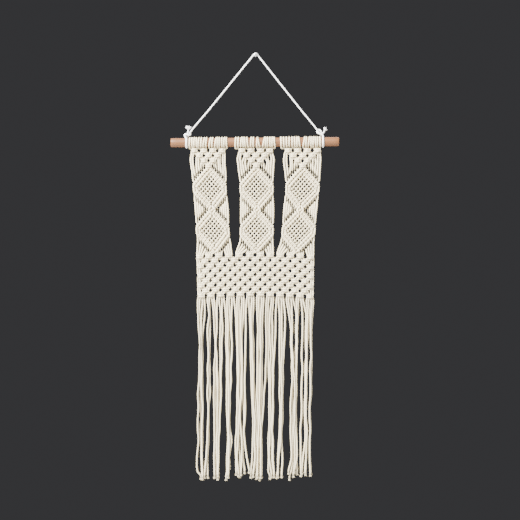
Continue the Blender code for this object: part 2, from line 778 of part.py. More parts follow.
def nail(look):
    """Shank and head turned in one piece; the shank ends flat on the wall."""
    made = bmesh.new()
    profile = ((NAIL_RADIUS, 0.0), (NAIL_RADIUS, NAIL_LENGTH - NAIL_HEAD_THICK),
               (NAIL_HEAD_RADIUS, NAIL_LENGTH - NAIL_HEAD_THICK),
               (NAIL_HEAD_RADIUS, NAIL_LENGTH - 0.4), (NAIL_HEAD_RADIUS - 0.8, NAIL_LENGTH))
    rings = []
    for radius, out in profile:
        ring = []
        for side in range(NAIL_SIDES):
            angle = 2 * math.pi * side / NAIL_SIDES
            ring.append(made.verts.new((radius * math.cos(angle), -out, radius * math.sin(angle))))
        rings.append(ring)
    for ring, following in zip(rings, rings[1:]):
        for side in range(NAIL_SIDES):
            made.faces.new((ring[side - 1], ring[side], following[side], following[side - 1]))
    made.faces.new(rings[0])
    made.faces.new(rings[-1])
    return add_object("nail", made, look)


clear_scene()
cream_cotton = material("cream_cotton", (0.80, 0.75, 0.63), 0.95)
white_cotton = material("white_cotton", (0.88, 0.87, 0.84), 0.92)
beech = material("beech", (0.62, 0.38, 0.24), 0.55)
steel = material("steel", (0.72, 0.72, 0.70), 0.35, 1.0)
dowel(beech)
nail(steel)
hanger(white_cotton)
netting(cream_cotton)
fringe(cream_cotton)
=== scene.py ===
import math
import random

import bpy
import numpy as np
from mathutils import Matrix, Vector, kdtree


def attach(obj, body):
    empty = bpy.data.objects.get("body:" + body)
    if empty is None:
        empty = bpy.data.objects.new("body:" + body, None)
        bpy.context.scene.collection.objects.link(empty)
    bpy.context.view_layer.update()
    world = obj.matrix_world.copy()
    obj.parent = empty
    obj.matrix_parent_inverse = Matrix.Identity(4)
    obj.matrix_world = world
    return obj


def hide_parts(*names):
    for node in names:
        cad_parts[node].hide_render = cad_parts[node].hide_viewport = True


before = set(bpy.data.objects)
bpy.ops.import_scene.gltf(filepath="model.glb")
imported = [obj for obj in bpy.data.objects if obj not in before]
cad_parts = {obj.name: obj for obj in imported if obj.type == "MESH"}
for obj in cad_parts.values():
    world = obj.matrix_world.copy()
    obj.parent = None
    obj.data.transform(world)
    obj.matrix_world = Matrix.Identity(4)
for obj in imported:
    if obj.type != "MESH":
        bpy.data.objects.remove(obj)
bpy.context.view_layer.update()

mm = 0.001
chance = random.Random(41)

# Sizes are in millimetres. A place on the hanging is (x, drop, out): to the right of the nail,
# below the dowel's axis, and towards the viewer from the plane that the cloth hangs in.
hanging = {
    "planeY": -16.0,
    "dowelX": -1.2,
    "dowelZ": -155.5,
    "dowelTilt": 0.4,           # degrees, right end up
    "dowelRadius": 8.0,
    "pressed": 0.08,            # least distance from the dowel to a cord's surface
}


def place(spot):
    # from a place on the hanging to the frame, in metres
    x, drop, out = spot
    return (x * mm, (hanging["planeY"] - out) * mm, (hanging["dowelZ"] - drop) * mm)


def dowelDrop(x):
    # how far below its middle the tilted dowel's axis lies at x
    return -(x - hanging["dowelX"]) * math.tan(math.radians(hanging["dowelTilt"]))


# Materials

class Value:
    # one shader socket that can be used in ordinary arithmetic
    def __init__(self, look, socket):
        self.look = look
        self.socket = socket

    def maths(self, operation, *numbers):
        return self.look.node("ShaderNodeMath", {"operation": operation}, dict(enumerate(numbers)))

    def __add__(self, other):
        return self.maths("ADD", self, other)

    __radd__ = __add__

    def __sub__(self, other):
        return self.maths("SUBTRACT", self, other)

    def __rsub__(self, other):
        return self.maths("SUBTRACT", other, self)

    def __mul__(self, other):
        return self.maths("MULTIPLY", self, other)

    __rmul__ = __mul__

    def __truediv__(self, other):
        return self.maths("DIVIDE", self, other)

    def __rtruediv__(self, other):
        return self.maths("DIVIDE", other, self)

    def sine(self):
        return self.maths("SINE", self)

    def size(self):
        return self.maths("ABSOLUTE", self)


# A colour mix's sockets, by number, because the node has others of the same names for numbers
mixFactor, mixFirst, mixSecond, mixResult = 0, 6, 7, 2


class Look:
    # a material and the one way to add a node to it
    def __init__(self, name, roughness, **fixed):
        self.material = bpy.data.materials.new(name)
        self.material.use_nodes = True
        self.tree = self.material.node_tree
        self.shader = self.tree.nodes["Principled BSDF"]
        self.shader.inputs["Roughness"].default_value = roughness
        for socket, value in fixed.items():
            self.shader.inputs[socket.replace("_", " ")].default_value = value

    def node(self, kind, settings=None, inputs=None, output=0):
        made = self.tree.nodes.new(kind)
        for key, value in (settings or {}).items():
            if key == "stops":
                self.setStops(made.color_ramp, value)
            else:
                setattr(made, key, value)
        for key, value in (inputs or {}).items():
            if isinstance(value, Value):
                self.tree.links.new(value.socket, made.inputs[key])
            else:
                made.inputs[key].default_value = value
        return Value(self, made.outputs[output])

    def setStops(self, ramp, stops):
        while len(ramp.elements) < len(stops):
            ramp.elements.new(0.5)
        for element, (position, colour) in zip(ramp.elements, stops):
            element.position = position
            element.color = (*colour, 1.0)

    def mix(self, factor, first, second):
        first = first if isinstance(first, Value) else (*first, 1.0)
        second = second if isinstance(second, Value) else (*second, 1.0)
        return self.node("ShaderNodeMix", {"data_type": "RGBA"},
                         {mixFactor: factor, mixFirst: first, mixSecond: second}, mixResult)

    def ramp(self, value, *stops):
        return self.node("ShaderNodeValToRGB", {"stops": stops}, {"Fac": value})

    def rise(self, value, low, high):
        # black up to low, white from high on
        return self.ramp(value, (low, (0.0, 0.0, 0.0)), (high, (1.0, 1.0, 1.0)))

    def noise(self, where, scale, detail=3.0, rough=0.5):
        return self.node("ShaderNodeTexNoise", None,
                         {"Vector": where, "Scale": scale, "Detail": detail, "Roughness": rough})

    def position(self):
        return self.node("ShaderNodeTexCoord", output="Object")

    def stretched(self, where, scale):
        return self.node("ShaderNodeMapping", None, {"Vector": where, "Scale": scale})

    def attribute(self, name):
        return self.node("ShaderNodeAttribute", {"attribute_name": name}, None, "Fac")

    def part(self, where, axis):
        return self.node("ShaderNodeSeparateXYZ", None, {"Vector": where}, axis)

    def set(self, socket, value):
        self.tree.links.new(value.socket, self.shader.inputs[socket])

    def bump(self, height, distance, strength=1.0, below=None):
        inputs = {"Height": height, "Distance": distance, "Strength": strength}
        if below:
            inputs["Normal"] = below
        return self.node("ShaderNodeBump", None, inputs)


def dimmed(colour, share):
    return tuple(min(1.0, share * level) for level in colour)


def cottonCord(name, pale, shade, layLength, relief, fuzz):
    # three plies laid up into a cord, each of many fine yarns; lengths are in millimetres
    plies, yarnsInPly, yarnLength, yarnRelief = 3.0, 7.0, 0.9, 0.12
    look = Look(name, 0.92, Sheen_Weight=0.12, Sheen_Roughness=0.5, Specular_IOR_Level=0.2)
    cordMap = look.node("ShaderNodeUVMap", {"uv_map": "cord"})
    along, around = look.part(cordMap, "X"), look.part(cordMap, "Y")
    turn = around * plies + along / (layLength / plies * mm)
    ply = (turn * math.pi).sine().size()
    yarns = ((turn * yarnsInPly - along / (yarnLength * mm)) * math.pi).sine().size()
    where = look.position()
    fibres = look.noise(look.stretched(where, (1.0, 1.0, 0.35)), 2600.0, 4.0, 0.6)
    stains = look.noise(where, 16.0, 2.0)
    # each cord has its own tone, between blotched and clean
    blotched = look.mix(stains, dimmed(pale, 0.66), dimmed(pale, 0.84))
    toned = look.mix(look.attribute("tone"), blotched, dimmed(pale, 1.06))
    # painted shade: the grooves between the plies turn to the shade colour
    plyGrooveShaded = look.mix(look.rise(ply, 0.0, 0.55), shade, toned)
    # painted shade where cords touch and where a cord is drawn thin: the colour turns dark
    crevice = look.attribute("crevice")
    withPaintedShade = look.mix(0.95 * crevice * crevice, plyGrooveShaded, dimmed(shade, 0.22))
    look.set("Base Color", look.mix(0.10 * fibres, withPaintedShade, (0.95, 0.90, 0.76)))
    look.set("Roughness", 0.84 + 0.14 * fibres)
    plyBump = look.bump(ply, relief * mm, 0.9)
    yarnBump = look.bump(yarns, yarnRelief * mm, 0.7, plyBump)
    look.set("Normal", look.bump(fibres, fuzz * mm, 0.6, yarnBump))
    return look.material


def turnedWood(name):
    # grain, broad bands and pores, all drawn out along the dowel
    look = Look(name, 0.5, Specular_IOR_Level=0.4)
    where = look.position()
    grain = look.noise(look.stretched(where, (5.0, 70.0, 70.0)), 9.0, 6.0, 0.6)
    flecks = look.noise(look.stretched(where, (30.0, 420.0, 420.0)), 4.0, 3.0, 0.7)
    broad = look.noise(look.stretched(where, (2.0, 14.0, 14.0)), 4.0, 2.0)
    wood = look.ramp(grain, (0.3, (0.069, 0.026, 0.0075)), (0.5, (0.118, 0.048, 0.015)),
                     (0.7, (0.171, 0.074, 0.025)))
    warmer = look.mix(broad, wood, (0.152, 0.061, 0.020))
    pores = look.rise(flecks, 0.56, 0.68)
    look.set("Base Color", look.mix(0.35 * pores, warmer, (0.13, 0.052, 0.022)))
    look.set("Roughness", 0.44 + 0.2 * grain)
    grainBump = look.bump(grain, 0.10 * mm, 0.5)
    look.set("Normal", look.bump(flecks, 0.05 * mm, 0.4, grainBump))
    return look.material


def wireSteel(name):
    look = Look(name, 0.3, Metallic=1.0)
    where = look.position()
    scuffs = look.noise(where, 900.0, 4.0, 0.6)
    tint = look.noise(where, 240.0, 2.0)
    look.set("Base Color", look.mix(tint, (0.62, 0.62, 0.61), (0.76, 0.76, 0.75)))
    look.set("Roughness", 0.22 + 0.3 * scuffs)
    look.set("Normal", look.bump(scuffs, 0.02 * mm, 0.4))
    return look.material


# shade is each cotton's colour for painted shade, in the grooves between plies and where cords
# touch
creamCotton = cottonCord("creamCotton", pale=(0.83, 0.725, 0.48), shade=(0.50, 0.41, 0.24),
                         layLength=11.0, relief=0.55, fuzz=0.05)
whiteCotton = cottonCord("whiteCotton", pale=(0.96, 0.955, 0.94), shade=(0.82, 0.81, 0.79),
                         layLength=8.0, relief=0.3, fuzz=0.03)
beechWood = turnedWood("beechWood")
nailSteel = wireSteel("nailSteel")
print("materials ready")


# How a cord is built

cordShade = {
    "reach": 1.3,               # painted shade in a crevice fades to nothing this far from the next cord
    "thickest": 2.1,            # no cord's radius is more
    "yarn": 0.6,                # a thinner one is a single yarn, which paints no shade on other cords
    "drawn": 1.15,              # a cord drawn thinner than this gets painted shade too
    "drawnRange": 0.4,          # fully so when it is this much thinner
    "sample": 1.5,              # from one sample of a cord's middle line to the next
    "startRange": 50.0,         # each cord's twist starts somewhere in this length
    "darkest": 0.6,             # the lowest tone that a cord of the net has
}


def smoothLine(points, step, most):
    # a rounded line through the points, which are rows of (x, drop, out, radius): a spline
    # whose pace follows the root of each gap, so that it doesn't swing wide at a tight turn
    ends = [2 * points[0] - points[1], *points, 2 * points[-1] - points[-2]]
    line = []
    for before, start, end, after in zip(ends, ends[1:], ends[2:], ends[3:]):
        gaps = [max(np.linalg.norm((b - a)[:3]), 0.05) ** 0.5
                for a, b in ((before, start), (start, end), (end, after))]
        knots = np.cumsum([0.0, *gaps])
        count = min(max(round(gaps[1] ** 2 / step), 1), most)
        t = knots[1] + (knots[2] - knots[1]) * np.arange(count)[:, None] / count
        a1 = ((knots[1] - t) * before + (t - knots[0]) * start) / (knots[1] - knots[0])
        a2 = ((knots[2] - t) * start + (t - knots[1]) * end) / (knots[2] - knots[1])
        a3 = ((knots[3] - t) * end + (t - knots[2]) * after) / (knots[3] - knots[2])
        b1 = ((knots[2] - t) * a1 + (t - knots[0]) * a2) / (knots[2] - knots[0])
        b2 = ((knots[3] - t) * a2 + (t - knots[1]) * a3) / (knots[3] - knots[1])
        line.append(((knots[2] - t) * b1 + (t - knots[1]) * b2) / (knots[2] - knots[1]))
    line.append(np.array([points[-1]]))
    return np.concatenate(line)


def pressOnDowel(rings):
    # a cord lies flat where it presses on the dowel
    slope = math.tan(math.radians(hanging["dowelTilt"]))
    axisY = hanging["planeY"] * mm
    axisZ = hanging["dowelZ"] * mm + (rings[..., 0] - hanging["dowelX"] * mm) * slope
    away = np.stack([rings[..., 1] - axisY, rings[..., 2] - axisZ], axis=-1)
    distance = np.maximum(np.linalg.norm(away, axis=-1), 1e-6)
    nearest = (hanging["dowelRadius"] + hanging["pressed"]) * mm
    away *= np.maximum(nearest / distance, 1.0)[..., None]
    return np.stack([rings[..., 0], axisY + away[..., 0], axisZ + away[..., 1]], axis=-1)


spines = []                     # every cord so far: its owner, its sampled middle line, its radii


def paintedContactShade(vertices, owners):
    # the strength of the painted shade: 1 where a cord's surface touches another owner's cord,
    # falling to 0 at reach from it
    reach = cordShade["reach"] * mm
    tree = kdtree.KDTree(sum(len(spots) for owner, spots, radii in spines))
    cordOf, thick = [], []
    for number, spots, radii in spines:
        for spot, radius in zip(spots.tolist(), radii.tolist()):
            tree.insert(spot, len(cordOf))
            cordOf.append(number)
            thick.append(radius if radius > cordShade["yarn"] * mm else -reach)
    tree.balance()
    found = []
    for vertex, owner in zip(vertices.tolist(), owners):
        gap = reach
        for _, index, distance in tree.find_range(vertex, reach + cordShade["thickest"] * mm):
            if cordOf[index] != owner:
                gap = min(gap, distance - thick[index])
        found.append(1.0 - max(gap, 0.0) / reach)
    return found


def carriedFrame(centres):
    # two directions square to a line, carried along it without a twist
    ahead = np.gradient(centres, axis=0)
    ahead /= np.maximum(np.linalg.norm(ahead, axis=1), 1e-9)[:, None]
    side = np.cross(ahead[0], (0.0, 1.0, 0.0))
    if np.linalg.norm(side) < 0.1:
        side = np.cross(ahead[0], (0.0, 0.0, 1.0))
    sideways = []
    for direction in ahead:
        side = side - direction * side.dot(direction)
        side /= max(np.linalg.norm(side), 1e-9)
        sideways.append(side)
    sideways = np.array(sideways)
    return sideways, np.cross(ahead, sideways)


class CordMesh:
    # gathers round tubes, with a map of the length along and the way round each, into one mesh
    def __init__(self):
        self.owners = []
        self.vertices = []
        self.quads = []
        self.ends = []
        self.maps = []
        self.tones = []
        self.thinPaintedShade = []
        self.count = 0

    def add(self, points, sides=12, step=1.6, most=6, tone=None, owner=None):
        # cords with the same owner paint no shade on each other; without one a cord is its own
        owner = len(spines) if owner is None else owner
        line = smoothLine(np.array(points, float), step, most)
        centres = np.array([place(row[:3]) for row in line])
        radii = line[:, 3] * mm
        total = len(centres)
        sideways, upward = carriedFrame(centres)
        angles = 2 * math.pi * np.arange(sides) / sides
        rings = (centres[:, None] + radii[:, None, None]
                 * (sideways[:, None] * np.cos(angles)[:, None]
                    + upward[:, None] * np.sin(angles)[:, None]))
        self.vertices.append(pressOnDowel(rings).reshape(-1, 3))
        self.owners += [owner] * (total * sides)
        self.sample(owner, centres, radii, step)
        self.cover(centres, sides)
        shade = tone
        if tone is None:
            shade = cordShade["darkest"] + (1 - cordShade["darkest"]) * chance.random()
        self.tones.append(np.full(total * sides, shade))
        # painted shade on a cord drawn thin, as where it passes behind a bar
        drawn = np.clip((cordShade["drawn"] - line[:, 3]) / cordShade["drawnRange"], 0.0, 1.0)
        drawn = np.where(line[:, 3] > cordShade["yarn"], drawn, 0.0)
        self.thinPaintedShade.append(np.repeat(drawn, sides))
        self.count += total * sides
        return centres.tolist()

    def sample(self, owner, centres, radii, step):
        # keeps the cord's middle line, closely enough that crevices finds it everywhere
        total = len(centres)
        samples = np.linspace(0, total - 1, int(total * max(step / cordShade["sample"], 1)))
        spots = [np.interp(samples, np.arange(total), centres[:, axis]) for axis in range(3)]
        spines.append((owner, np.stack(spots, axis=1),
                       np.interp(samples, np.arange(total), radii)))

    def cover(self, centres, sides):
        # the tube's faces and their map, in metres along the cord and turns round it
        total = len(centres)
        steps = np.linalg.norm(np.diff(centres, axis=0), axis=1)
        lengths = np.concatenate([[0.0], np.cumsum(steps)])
        lengths += chance.random() * cordShade["startRange"] * mm
        ring, turn = np.meshgrid(np.arange(total - 1), np.arange(sides), indexing="ij")
        ring, turn = ring.ravel(), turn.ravel()
        following = (turn + 1) % sides
        low, high = self.count + ring * sides, self.count + (ring + 1) * sides
        self.quads.append(np.stack([low + turn, high + turn, high + following,
                                    low + following], axis=1))
        near, far = turn / sides, (turn + 1) / sides
        corners = [(lengths[ring], near), (lengths[ring + 1], near), (lengths[ring + 1], far),
                   (lengths[ring], far)]
        self.maps.append(np.stack([np.stack(corner, axis=1) for corner in corners], axis=1))
        last = self.count + (total - 1) * sides
        self.ends.append([self.count + number for number in range(sides)])
        self.ends.append([last + number for number in reversed(range(sides))])

    def build(self, name, material, slotName, node):
        vertices = np.concatenate(self.vertices)
        faces = np.concatenate(self.quads).tolist() + self.ends
        mesh = bpy.data.meshes.new(name)
        mesh.from_pydata(vertices.tolist(), [], faces)
        cordMap = mesh.uv_layers.new(name="cord")
        flat = np.concatenate(self.maps).reshape(-1, 2)
        padding = np.zeros((sum(len(end) for end in self.ends), 2))
        cordMap.data.foreach_set("uv", np.concatenate([flat, padding]).astype(np.float32).ravel())
        # painted shade, in crevices between cords and on cords drawn thin, is kept in an attribute
        deep = np.maximum(paintedContactShade(vertices, self.owners), np.concatenate(self.thinPaintedShade))
        for title, values in (("tone", np.concatenate(self.tones)), ("crevice", deep)):
            attribute = mesh.attributes.new(title, "FLOAT", "POINT")
            attribute.data.foreach_set("value", values.astype(np.float32))
        mesh.shade_smooth()
        mesh.materials.append(material)
        return addPiece(name, mesh, node)


def addToScene(name, data):
    made = bpy.data.objects.new(name, data)
    bpy.context.scene.collection.objects.link(made)
    return made


def turnedMesh(name, vertices, sides, material):
    # the vertices lie in rings of so many sides, one ring after the other
    faces = []
    for low in range(0, len(vertices) - sides, sides):
        for side in range(sides):
            following = (side + 1) % sides
            faces.append((low + side, low + following, low + sides + following,
                          low + sides + side))
    mesh = bpy.data.meshes.new(name)
    mesh.from_pydata(vertices, [], faces)
    mesh.shade_smooth()
    mesh.materials.append(material)
    return mesh


def addPiece(name, mesh, node):
    piece = addToScene(name, mesh)
    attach(piece, "root")
    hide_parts(node)
    print(name, "ready:", sum(len(face.vertices) - 2 for face in mesh.polygons), "triangles")
    return piece


# The knotted cloth

netting = {
    "strand": 1.76,             # radius of a cord that hangs free
    "loose": 1.55,              # radius of the cords that hang beside the heading
    "knotted": 1.8,             # radius of a cord in a square knot
    "wrapped": 1.62,            # radius of the cords round the dowel
    "core": 1.4,                # radius of a cord inside a bar
    "hitched": 1.42,            # radius of the cords tied round it
    "woven": 1.1,               # radius where they weave through each other
    "weaveOut": 1.1,            # how far out they lie there
    "rowOne": 14.8,             # the heading's first row of knots
    "row": 8.9,                 # from one of its rows to the next
    "rows": 4,
    "diamondTop": 45.95,
    "diamond": 75.0,
    "outerBar": 32.7,           # from a diamond's middle to where its bars would meet
    "innerBar": 28.4,
    "cross": 4.31,              # how much lower a bar is one cord further out
    "knotPitch": 4.8,           # strand to strand, as the knot below is drawn
    "knotHalf": 4.33,           # from its middle to that of its link, as drawn
    "knotTurn": 2.0,            # degrees by which knots differ
    "wobble": 0.22,             # how far a knot lies from its place
    "knotWidths": 0.012,        # share by which a knot's points vary across
    "underKnot": 3.9,           # from a knot's middle to where its cords hang free
    "underBar": 6.0,            # the same from a bar's
    "overBar": 7.6,             # where a hanging cord ends above a bar
}

# A hanging cord is drawn thin where it meets the outer bar. Reaches are from the bar's middle.
neck = {
    "root": (4.4, 1.0),         # reach and radius beside the bar
    "thin": 0.7,
    "reaches": {-1: (6.6, 10.0), 1: (5.8, 8.8)},    # the thin part above a diamond and below it
    "ease": 2.2,                # from there to the full radius
    "outermost": (1.4, 1.5),    # radii of the outermost cord, which is drawn in less
    "deep": 1.2,                # a cord thinner than this lies deep behind the bar
    "outs": (-2.0, -0.8),       # how far out deep and other cords lie
}

# A cord that hangs beside the heading strays from its place, most near its top.
straying = {
    "share": 1.2,
    "fade": 1.7,                # above 1, the stray starts to fade only lower down
    "across": 0.2,
    "out": 0.4,
}

# The wraps of a lark's head, drawn for its right side: (right, down from the axis, out)
wraps = {
    "start": ((0.2, 10.9, -4.9), (1.6, 9.6, -6.0)),     # behind the dowel
    "angles": range(205, -85, -24),     # then over it and down its front
    "gap": 0.25,                # from the dowel to the cord's middle line, so it lies pressed
    "apart": 2.2,               # from the head's middle to a wrap's
    "closer": 0.2,              # how much less at the top
    "leans": 0.15,              # by how much a lean varies
    "leanFoot": 0.8,            # it starts this share of a radius below the axis
    "end": (2.1, 10.0, -0.6),
}

# Turns of a strand round the cord inside a bar, drawn tight against each other. In the last
# steps it turns back along the bar a little.
hitching = {
    "steps": 12,
    "angle": 45,                # degrees from one step to the next
    "reach": 4.1,               # along the bar
    "rise": 1.65,
    "out": 2.1,
    "backSteps": 2,
    "back": 0.8,                # in each of those
}

# The drops at which the panels' middle lines and cord spacings are given
panelDrops = (9.8, 15.0, 83.0, 121.0, 158.0, 198.0)

# For each panel: its middle line and cord spacing there, the x of each lark's head at the foot
# of its wraps, how far each head's two wraps lean to the right at the top, and how far each
# hanging cord beside the heading strays from its place, from the innermost one outwards.
panels = {
    "left": {
        "middles": (-84.6, -84.4, -81.7, -77.7, -76.4, -71.5),
        "pitches": (4.36, 4.10, 3.78, 3.78, 3.78, 3.80),
        "heads": (-115.2, -107.3, -99.8, -90.9, -80.2, -70.2, -62.0, -54.0),
        "leans": ((0.2, 0.0), (0.1, -0.2), (0.8, 1.0), (1.3, 1.0), (1.4, 1.2), (1.3, 0.5),
                  (-0.3, 0.1), (0.2, -0.1)),
        "strays": {-1: (0.0, 0.0, -0.4, 0.0, -2.1, -1.5), 1: (-1.1, -1.6, -0.5, -1.6, -0.5, -1.1)},
    },
    "middle": {
        "middles": (-0.3, 0.3, 2.0, 3.0, 2.3, 0.7),
        "pitches": (4.56, 4.10, 3.80, 3.80, 3.80, 3.80),
        "heads": (-33.7, -24.2, -16.0, -6.4, 4.5, 15.4, 23.5, 31.7),
        "leans": ((0.3, 0.4), (0.8, -0.2), (-1.2, -0.8), (0.2, 0.4), (0.3, -1.7), (1.8, 0.6),
                  (0.0, 0.2), (0.3, -0.3)),
        "strays": {-1: (0.3, 0.2, -1.0, -1.8, -1.4, -1.8), 1: (0.0, 0.0, 1.4, 0.8, 1.0, 1.3)},
    },
    "right": {
        "middles": (80.6, 84.0, 84.0, 79.7, 76.9, 72.2),
        "pitches": (4.67, 4.35, 3.80, 3.80, 3.80, 3.80),
        "heads": (48.1, 57.6, 67.7, 76.3, 87.3, 96.4, 104.8, 112.7),
        "leans": ((-0.6, -0.2), (-0.4, 0.2), (-0.4, 0.0), (-0.5, -1.1), (1.2, 0.9), (0.9, 0.4),
                  (0.1, -0.2), (0.0, 0.0)),
        "strays": {-1: (0.0, 0.3, 0.5, 1.4, -1.0, -1.4), 1: (0.0, 0.3, -0.4, 0.3, -0.3, 0.0)},
    },
}

# The cords of a square knot from the middle of the link above it to its own middle: (to the
# right, down, out). Below the middle they run back likewise.
frontCord = ((-5.1, -2.1, 1.0), (-4.0, -1.3, 2.4), (-2.2, -1.7, 3.25), (0.0, -1.8, 3.5),
             (2.1, -1.7, 3.1), (3.5, -1.15, 1.7), (4.25, -0.55, 0.0), (4.45, 0.0, -0.4))
backCord = ((5.2, -2.2, 1.2), (4.7, -1.15, 2.5), (3.9, -0.45, 2.2), (3.0, -0.7, -0.5),
            (2.1, -1.5, -2.7), (0.0, -1.9, -3.2), (-2.4, -1.6, -2.9), (-4.0, -1.05, -1.2),
            (-4.7, -0.6, 0.9), (-4.8, 0.0, 1.9))
innerCord = ((1.8, -3.9, 1.0), (1.6, -2.2, 0.2), (1.5, 0.0, 0.0))
linkSpots = ((5.7, 3.1, 0.6), (2.5, 5.5, 0.6))  # a link to the next knot: wing, inner
fallSpots = ((5.5, 3.6, 0.2), (1.85, 4.9, 0.4))  # a pair that hangs straight down

# Where the middle cords run, drawn for the right side: (strand, drop, out, radius)
cornerSpots = {
    "outer": ((7.5, -5.5, 0.0, 1.75), (7.45, 0.0, 0.0, 1.85), (7.5, 5.5, 0.0, 1.75)),
    "inner": ((6.3, -2.0, 0.0, 1.7), (6.2, 0.0, 0.0, 1.75), (6.3, 2.0, 0.0, 1.7)),
}
waistSpots = {
    "outer": ((0.55, -1.9, 0.5, 1.8), (0.0, 0.0, 1.7, 1.8), (-0.55, 1.9, 0.5, 1.8)),
    "inner": ((0.45, -6.6, 1.2, 1.85), (1.2, -2.2, 2.2, 1.85), (1.4, 0.0, 1.0, 1.85),
              (1.2, 2.2, 2.2, 1.85), (0.45, 6.6, 1.2, 1.85)),
}
spreadSpots = {                 # from the top of the first diamond
    "outer": ((0.0, 0.6, -1.5, 1.6), (0.9, 2.0, 0.0, 1.5)),
    "inner": ((0.0, 7.0, -1.4, 1.6),),
}
gatherSpots = {                 # from the middle of the last one
    "outer": ((0.8, 35.4, 0.0, 1.5), (0.0, 37.0, 1.5, 1.6)),
    "inner": ((0.0, 30.6, -1.4, 1.6),),
}
coreCells = {"outer": (0, 1.5, 3, 4.5, 5.8), "inner": (0.3, 1.5, 3, 4.5, 5.5)}

strandCount = 16
floatCount = strandCount // 2 - 2       # on each side of the two pairs of middle cords
laneCount = len(panels) * strandCount
lanes = [[] for _ in range(laneCount)]


def lay(lane, x, drop, out=0.0, radius=None):
    lanes[lane].append((x, drop, out, radius or netting["strand"]))


def wholeKnotCord(upper):
    lower = [(right, -down, out) for right, down, out in reversed(upper[:-1])]
    return [*upper, *lower]


def squareKnot(four, x, drop, pitch, half, fresh=(False, False), leaving=(False, False)):
    # fresh and leaving say whether the left and right pairs hang straight above and below
    wide = pitch / netting["knotPitch"]
    tall = half / netting["knotHalf"]
    turn = math.radians(chance.gauss(0, netting["knotTurn"]))
    shiftX = chance.gauss(0, netting["wobble"])
    shiftDrop = chance.gauss(0, netting["wobble"])
    inner = wholeKnotCord(innerCord)
    mirrored = [(-right, down, out) for right, down, out in inner]
    cords = (wholeKnotCord(frontCord), mirrored, inner, wholeKnotCord(backCord))
    for number, (lane, cord) in enumerate(zip(four, cords)):
        side = -1 if number < 2 else 1
        wing = number in (0, 3)
        if fresh[side > 0]:
            right, down, out = fallSpots[0 if wing else 1]
            lay(lane, x + side * right * wide, drop - down * tall, out, netting["loose"])
        for right, down, out in cord:
            across = right * wide * (1 + chance.gauss(0, netting["knotWidths"]))
            fall = down * tall
            lay(lane, x + across * math.cos(turn) - fall * math.sin(turn) + shiftX,
                drop + across * math.sin(turn) + fall * math.cos(turn) + shiftDrop, out,
                netting["knotted"])
        falls = leaving[side > 0]
        right, down, out = (fallSpots if falls else linkSpots)[0 if wing else 1]
        lay(lane, x + side * right * wide, drop + down * tall, out,
            netting["loose" if falls else "strand"])


def hitch(lane, x, drop, along, up):
    for step in range(hitching["steps"] + 1):
        angle = math.radians(hitching["angle"] * step)
        run = -hitching["reach"] / 2 + hitching["reach"] * step / hitching["steps"]
        run -= hitching["back"] * max(0, step - (hitching["steps"] - hitching["backSteps"]))
        rise = hitching["rise"] * math.cos(angle)
        out = hitching["out"] * math.sin(angle)
        lay(lane, x + run * along[0] + rise * up[0], drop + run * along[1] + rise * up[1], out,
            netting["hitched"])


